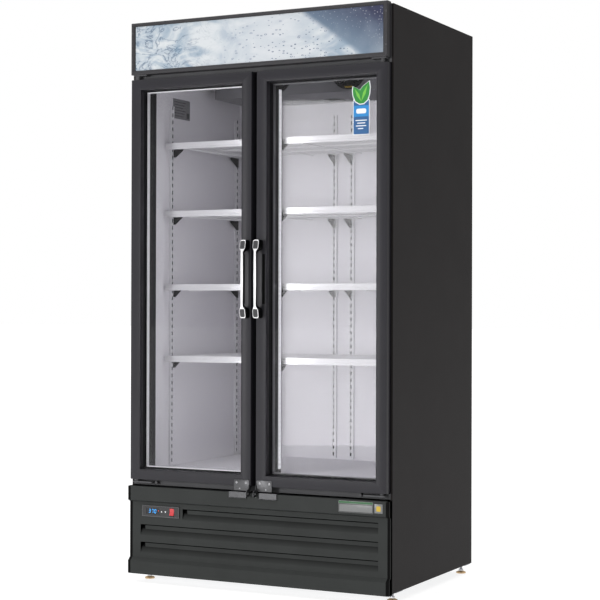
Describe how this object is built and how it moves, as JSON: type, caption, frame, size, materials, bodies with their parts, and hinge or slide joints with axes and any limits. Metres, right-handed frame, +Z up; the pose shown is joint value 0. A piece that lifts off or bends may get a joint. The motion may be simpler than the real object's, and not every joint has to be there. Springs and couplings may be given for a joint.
{
  "type": "glass door merchandiser",
  "caption": "Upright refrigerated display cabinet with hinged glass doors, a lit header sign, wire shelves, a louvred lower panel and levelling feet.",
  "frame": {"origin": "middle of the footprint on the floor, over the whole outline with the door pulls", "axes": "+Z up, +X to the right of someone facing the doors, -Y out through the doors"},
  "size_m": [1, 0.792, 1.96],
  "materials": {
    "cabinet_black": "satin",
    "panel_black": "satin",
    "door_black": "satin",
    "foam": "matte",
    "liner_white": "satin",
    "black_plastic": "satin",
    "rubber_black": "matte",
    "clear_glass": "polished",
    "spacer_aluminium": "satin",
    "chrome": "polished",
    "sign_print": "gloss",
    "lamp_white": "gloss",
    "steel_plain": "satin",
    "galvanised": "satin",
    "foot_brass": "satin",
    "wire_white": "satin",
    "pilaster_grey": "satin",
    "evaporator_grey": "satin",
    "coil_aluminium": "satin",
    "compressor_black": "satin",
    "copper": "satin",
    "control_grey": "satin",
    "display_dark": "gloss",
    "key_grey": "satin",
    "rocker_red": "gloss",
    "badge_silver": "satin",
    "pan_grey": "matte"
  },
  "bodies": {
    "cabinet": {"back_panel": "cabinet_black", "badge_plate": "badge_silver", "base_frame": "galvanised", "breaker_frame": "black_plastic", "compressor": "compressor_black", "condenser_coil": "coil_aluminium", "condenser_shroud": "galvanised", "controller_bezel": "control_grey", "controller_display": "display_dark", "drain_pan": "pan_grey", "electrical_box": "pan_grey", "evaporator_coil": "coil_aluminium", "evaporator_cover": "evaporator_grey", "evaporator_motors": "pan_grey", "front_frame": "panel_black", "grille_panel": "panel_black", "hasp_brackets": "steel_plain", "header_box": "panel_black", "header_sign": "sign_print", "hinge_brackets": "compressor_black", "inlet_gland": "black_plastic", "inner_liner": "liner_white", "insulation": "foam", "led_lamps": "lamp_white", "mullion_post": "liner_white", "outside_screws": "steel_plain", "pilasters": "pilaster_grey", "rear_grille": "cabinet_black", "refrigerant_lines": "copper", "shelf_clips": "black_plastic", "shelf_row_1": "wire_white", "shelf_row_2": "wire_white", "shelf_row_3": "wire_white", "shelf_row_4": "wire_white", "side_panels": "cabinet_black", "top_panel": "cabinet_black"},
    "left_door": {"left_door_frame": "door_black", "left_door_gasket": "rubber_black", "left_door_handle": "black_plastic", "left_door_handle_trim": "chrome", "left_door_hasp": "steel_plain", "left_door_panes": "clear_glass", "left_door_spacer": "spacer_aluminium"},
    "evaporator_fan_left": {"evaporator_fan_left": "black_plastic"},
    "right_door": {"right_door_frame": "door_black", "right_door_gasket": "rubber_black", "right_door_handle": "black_plastic", "right_door_handle_trim": "chrome", "right_door_hasp": "steel_plain", "right_door_panes": "clear_glass", "right_door_spacer": "spacer_aluminium"},
    "evaporator_fan_right": {"evaporator_fan_right": "black_plastic"},
    "condenser_fan": {"condenser_fan": "black_plastic"},
    "key_up": {"key_up": "key_grey"},
    "key_down": {"key_down": "key_grey"},
    "power_rocker": {"power_rocker": "rocker_red"},
    "foot_front_left": {"foot_front_left": "foot_brass"},
    "foot_front_right": {"foot_front_right": "foot_brass"},
    "foot_rear_left": {"foot_rear_left": "foot_brass"},
    "foot_rear_right": {"foot_rear_right": "foot_brass"}
  },
  "joints": [
    {"name": "left_door_hinge", "type": "hinge", "parent": "cabinet", "child": "left_door", "pos_m": [-0.47, -0.343, 1.0615], "axis": [0, 0, 1], "range_deg": [-115, 0], "stiffness_Nm_per_rad": 1},
    {"name": "right_door_hinge", "type": "hinge", "parent": "cabinet", "child": "right_door", "pos_m": [0.47, -0.343, 1.0615], "axis": [0, 0, 1], "range_deg": [0, 115], "stiffness_Nm_per_rad": 1},
    {"name": "left_evaporator_fan_spin", "type": "hinge", "parent": "cabinet", "child": "evaporator_fan_left", "pos_m": [-0.15, 0.095, 1.815], "axis": [0, 1, 0], "continuous": true},
    {"name": "right_evaporator_fan_spin", "type": "hinge", "parent": "cabinet", "child": "evaporator_fan_right", "pos_m": [0.15, 0.095, 1.815], "axis": [0, 1, 0], "continuous": true},
    {"name": "condenser_fan_spin", "type": "hinge", "parent": "cabinet", "child": "condenser_fan", "pos_m": [0.145, -0.161, 0.169], "axis": [0, 1, 0], "continuous": true},
    {"name": "power_rocker_tilt", "type": "hinge", "parent": "cabinet", "child": "power_rocker", "pos_m": [-0.326, -0.344, 0.252], "axis": [1, 0, 0], "range_deg": [0, 18]},
    {"name": "key_up_press", "type": "slide", "parent": "cabinet", "child": "key_up", "axis": [0, 1, 0], "range_m": [0, 0.0008], "stiffness_N_per_m": 400},
    {"name": "key_down_press", "type": "slide", "parent": "cabinet", "child": "key_down", "axis": [0, 1, 0], "range_m": [0, 0.0008], "stiffness_N_per_m": 400},
    {"name": "front_left_foot_height", "type": "slide", "parent": "cabinet", "child": "foot_front_left", "axis": [0, 0, -1], "range_m": [0, 0.02]},
    {"name": "front_right_foot_height", "type": "slide", "parent": "cabinet", "child": "foot_front_right", "axis": [0, 0, -1], "range_m": [0, 0.02]},
    {"name": "rear_left_foot_height", "type": "slide", "parent": "cabinet", "child": "foot_rear_left", "axis": [0, 0, -1], "range_m": [0, 0.02]},
    {"name": "rear_right_foot_height", "type": "slide", "parent": "cabinet", "child": "foot_rear_right", "axis": [0, 0, -1], "range_m": [0, 0.02]}
  ]
}
